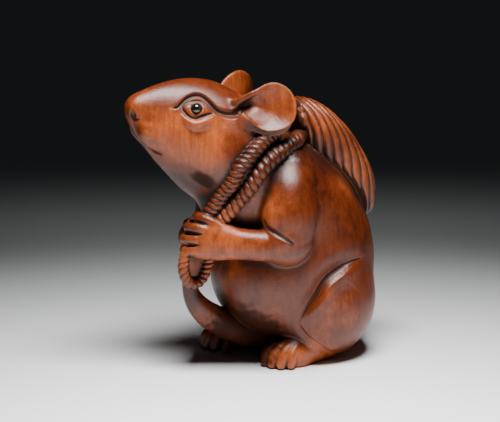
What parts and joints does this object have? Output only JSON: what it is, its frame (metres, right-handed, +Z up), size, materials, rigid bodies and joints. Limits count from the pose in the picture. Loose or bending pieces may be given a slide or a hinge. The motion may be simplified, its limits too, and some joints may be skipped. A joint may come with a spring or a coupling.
{
  "type": "netsuke",
  "caption": "Carved boxwood netsuke of a seated rat holding the twisted ropes of a pleated sack on its back, with inlaid dark bead eyes.",
  "frame": {"origin": "middle of the footprint box, on the plane the figure stands on", "axes": "+Z up, -Y the way the rat's body faces, +X the rat's left side"},
  "size_m": [0.0288, 0.0465, 0.0499],
  "materials": {
    "stained_boxwood": "carved, stained orange brown, darker in the grooves, rubbed to a satin gloss",
    "black_horn": "polished black horn bead"
  },
  "bodies": {
    "root": {"rat_figure": "stained_boxwood", "left_eye": "black_horn", "right_eye": "black_horn"}
  },
  "joints": []
}
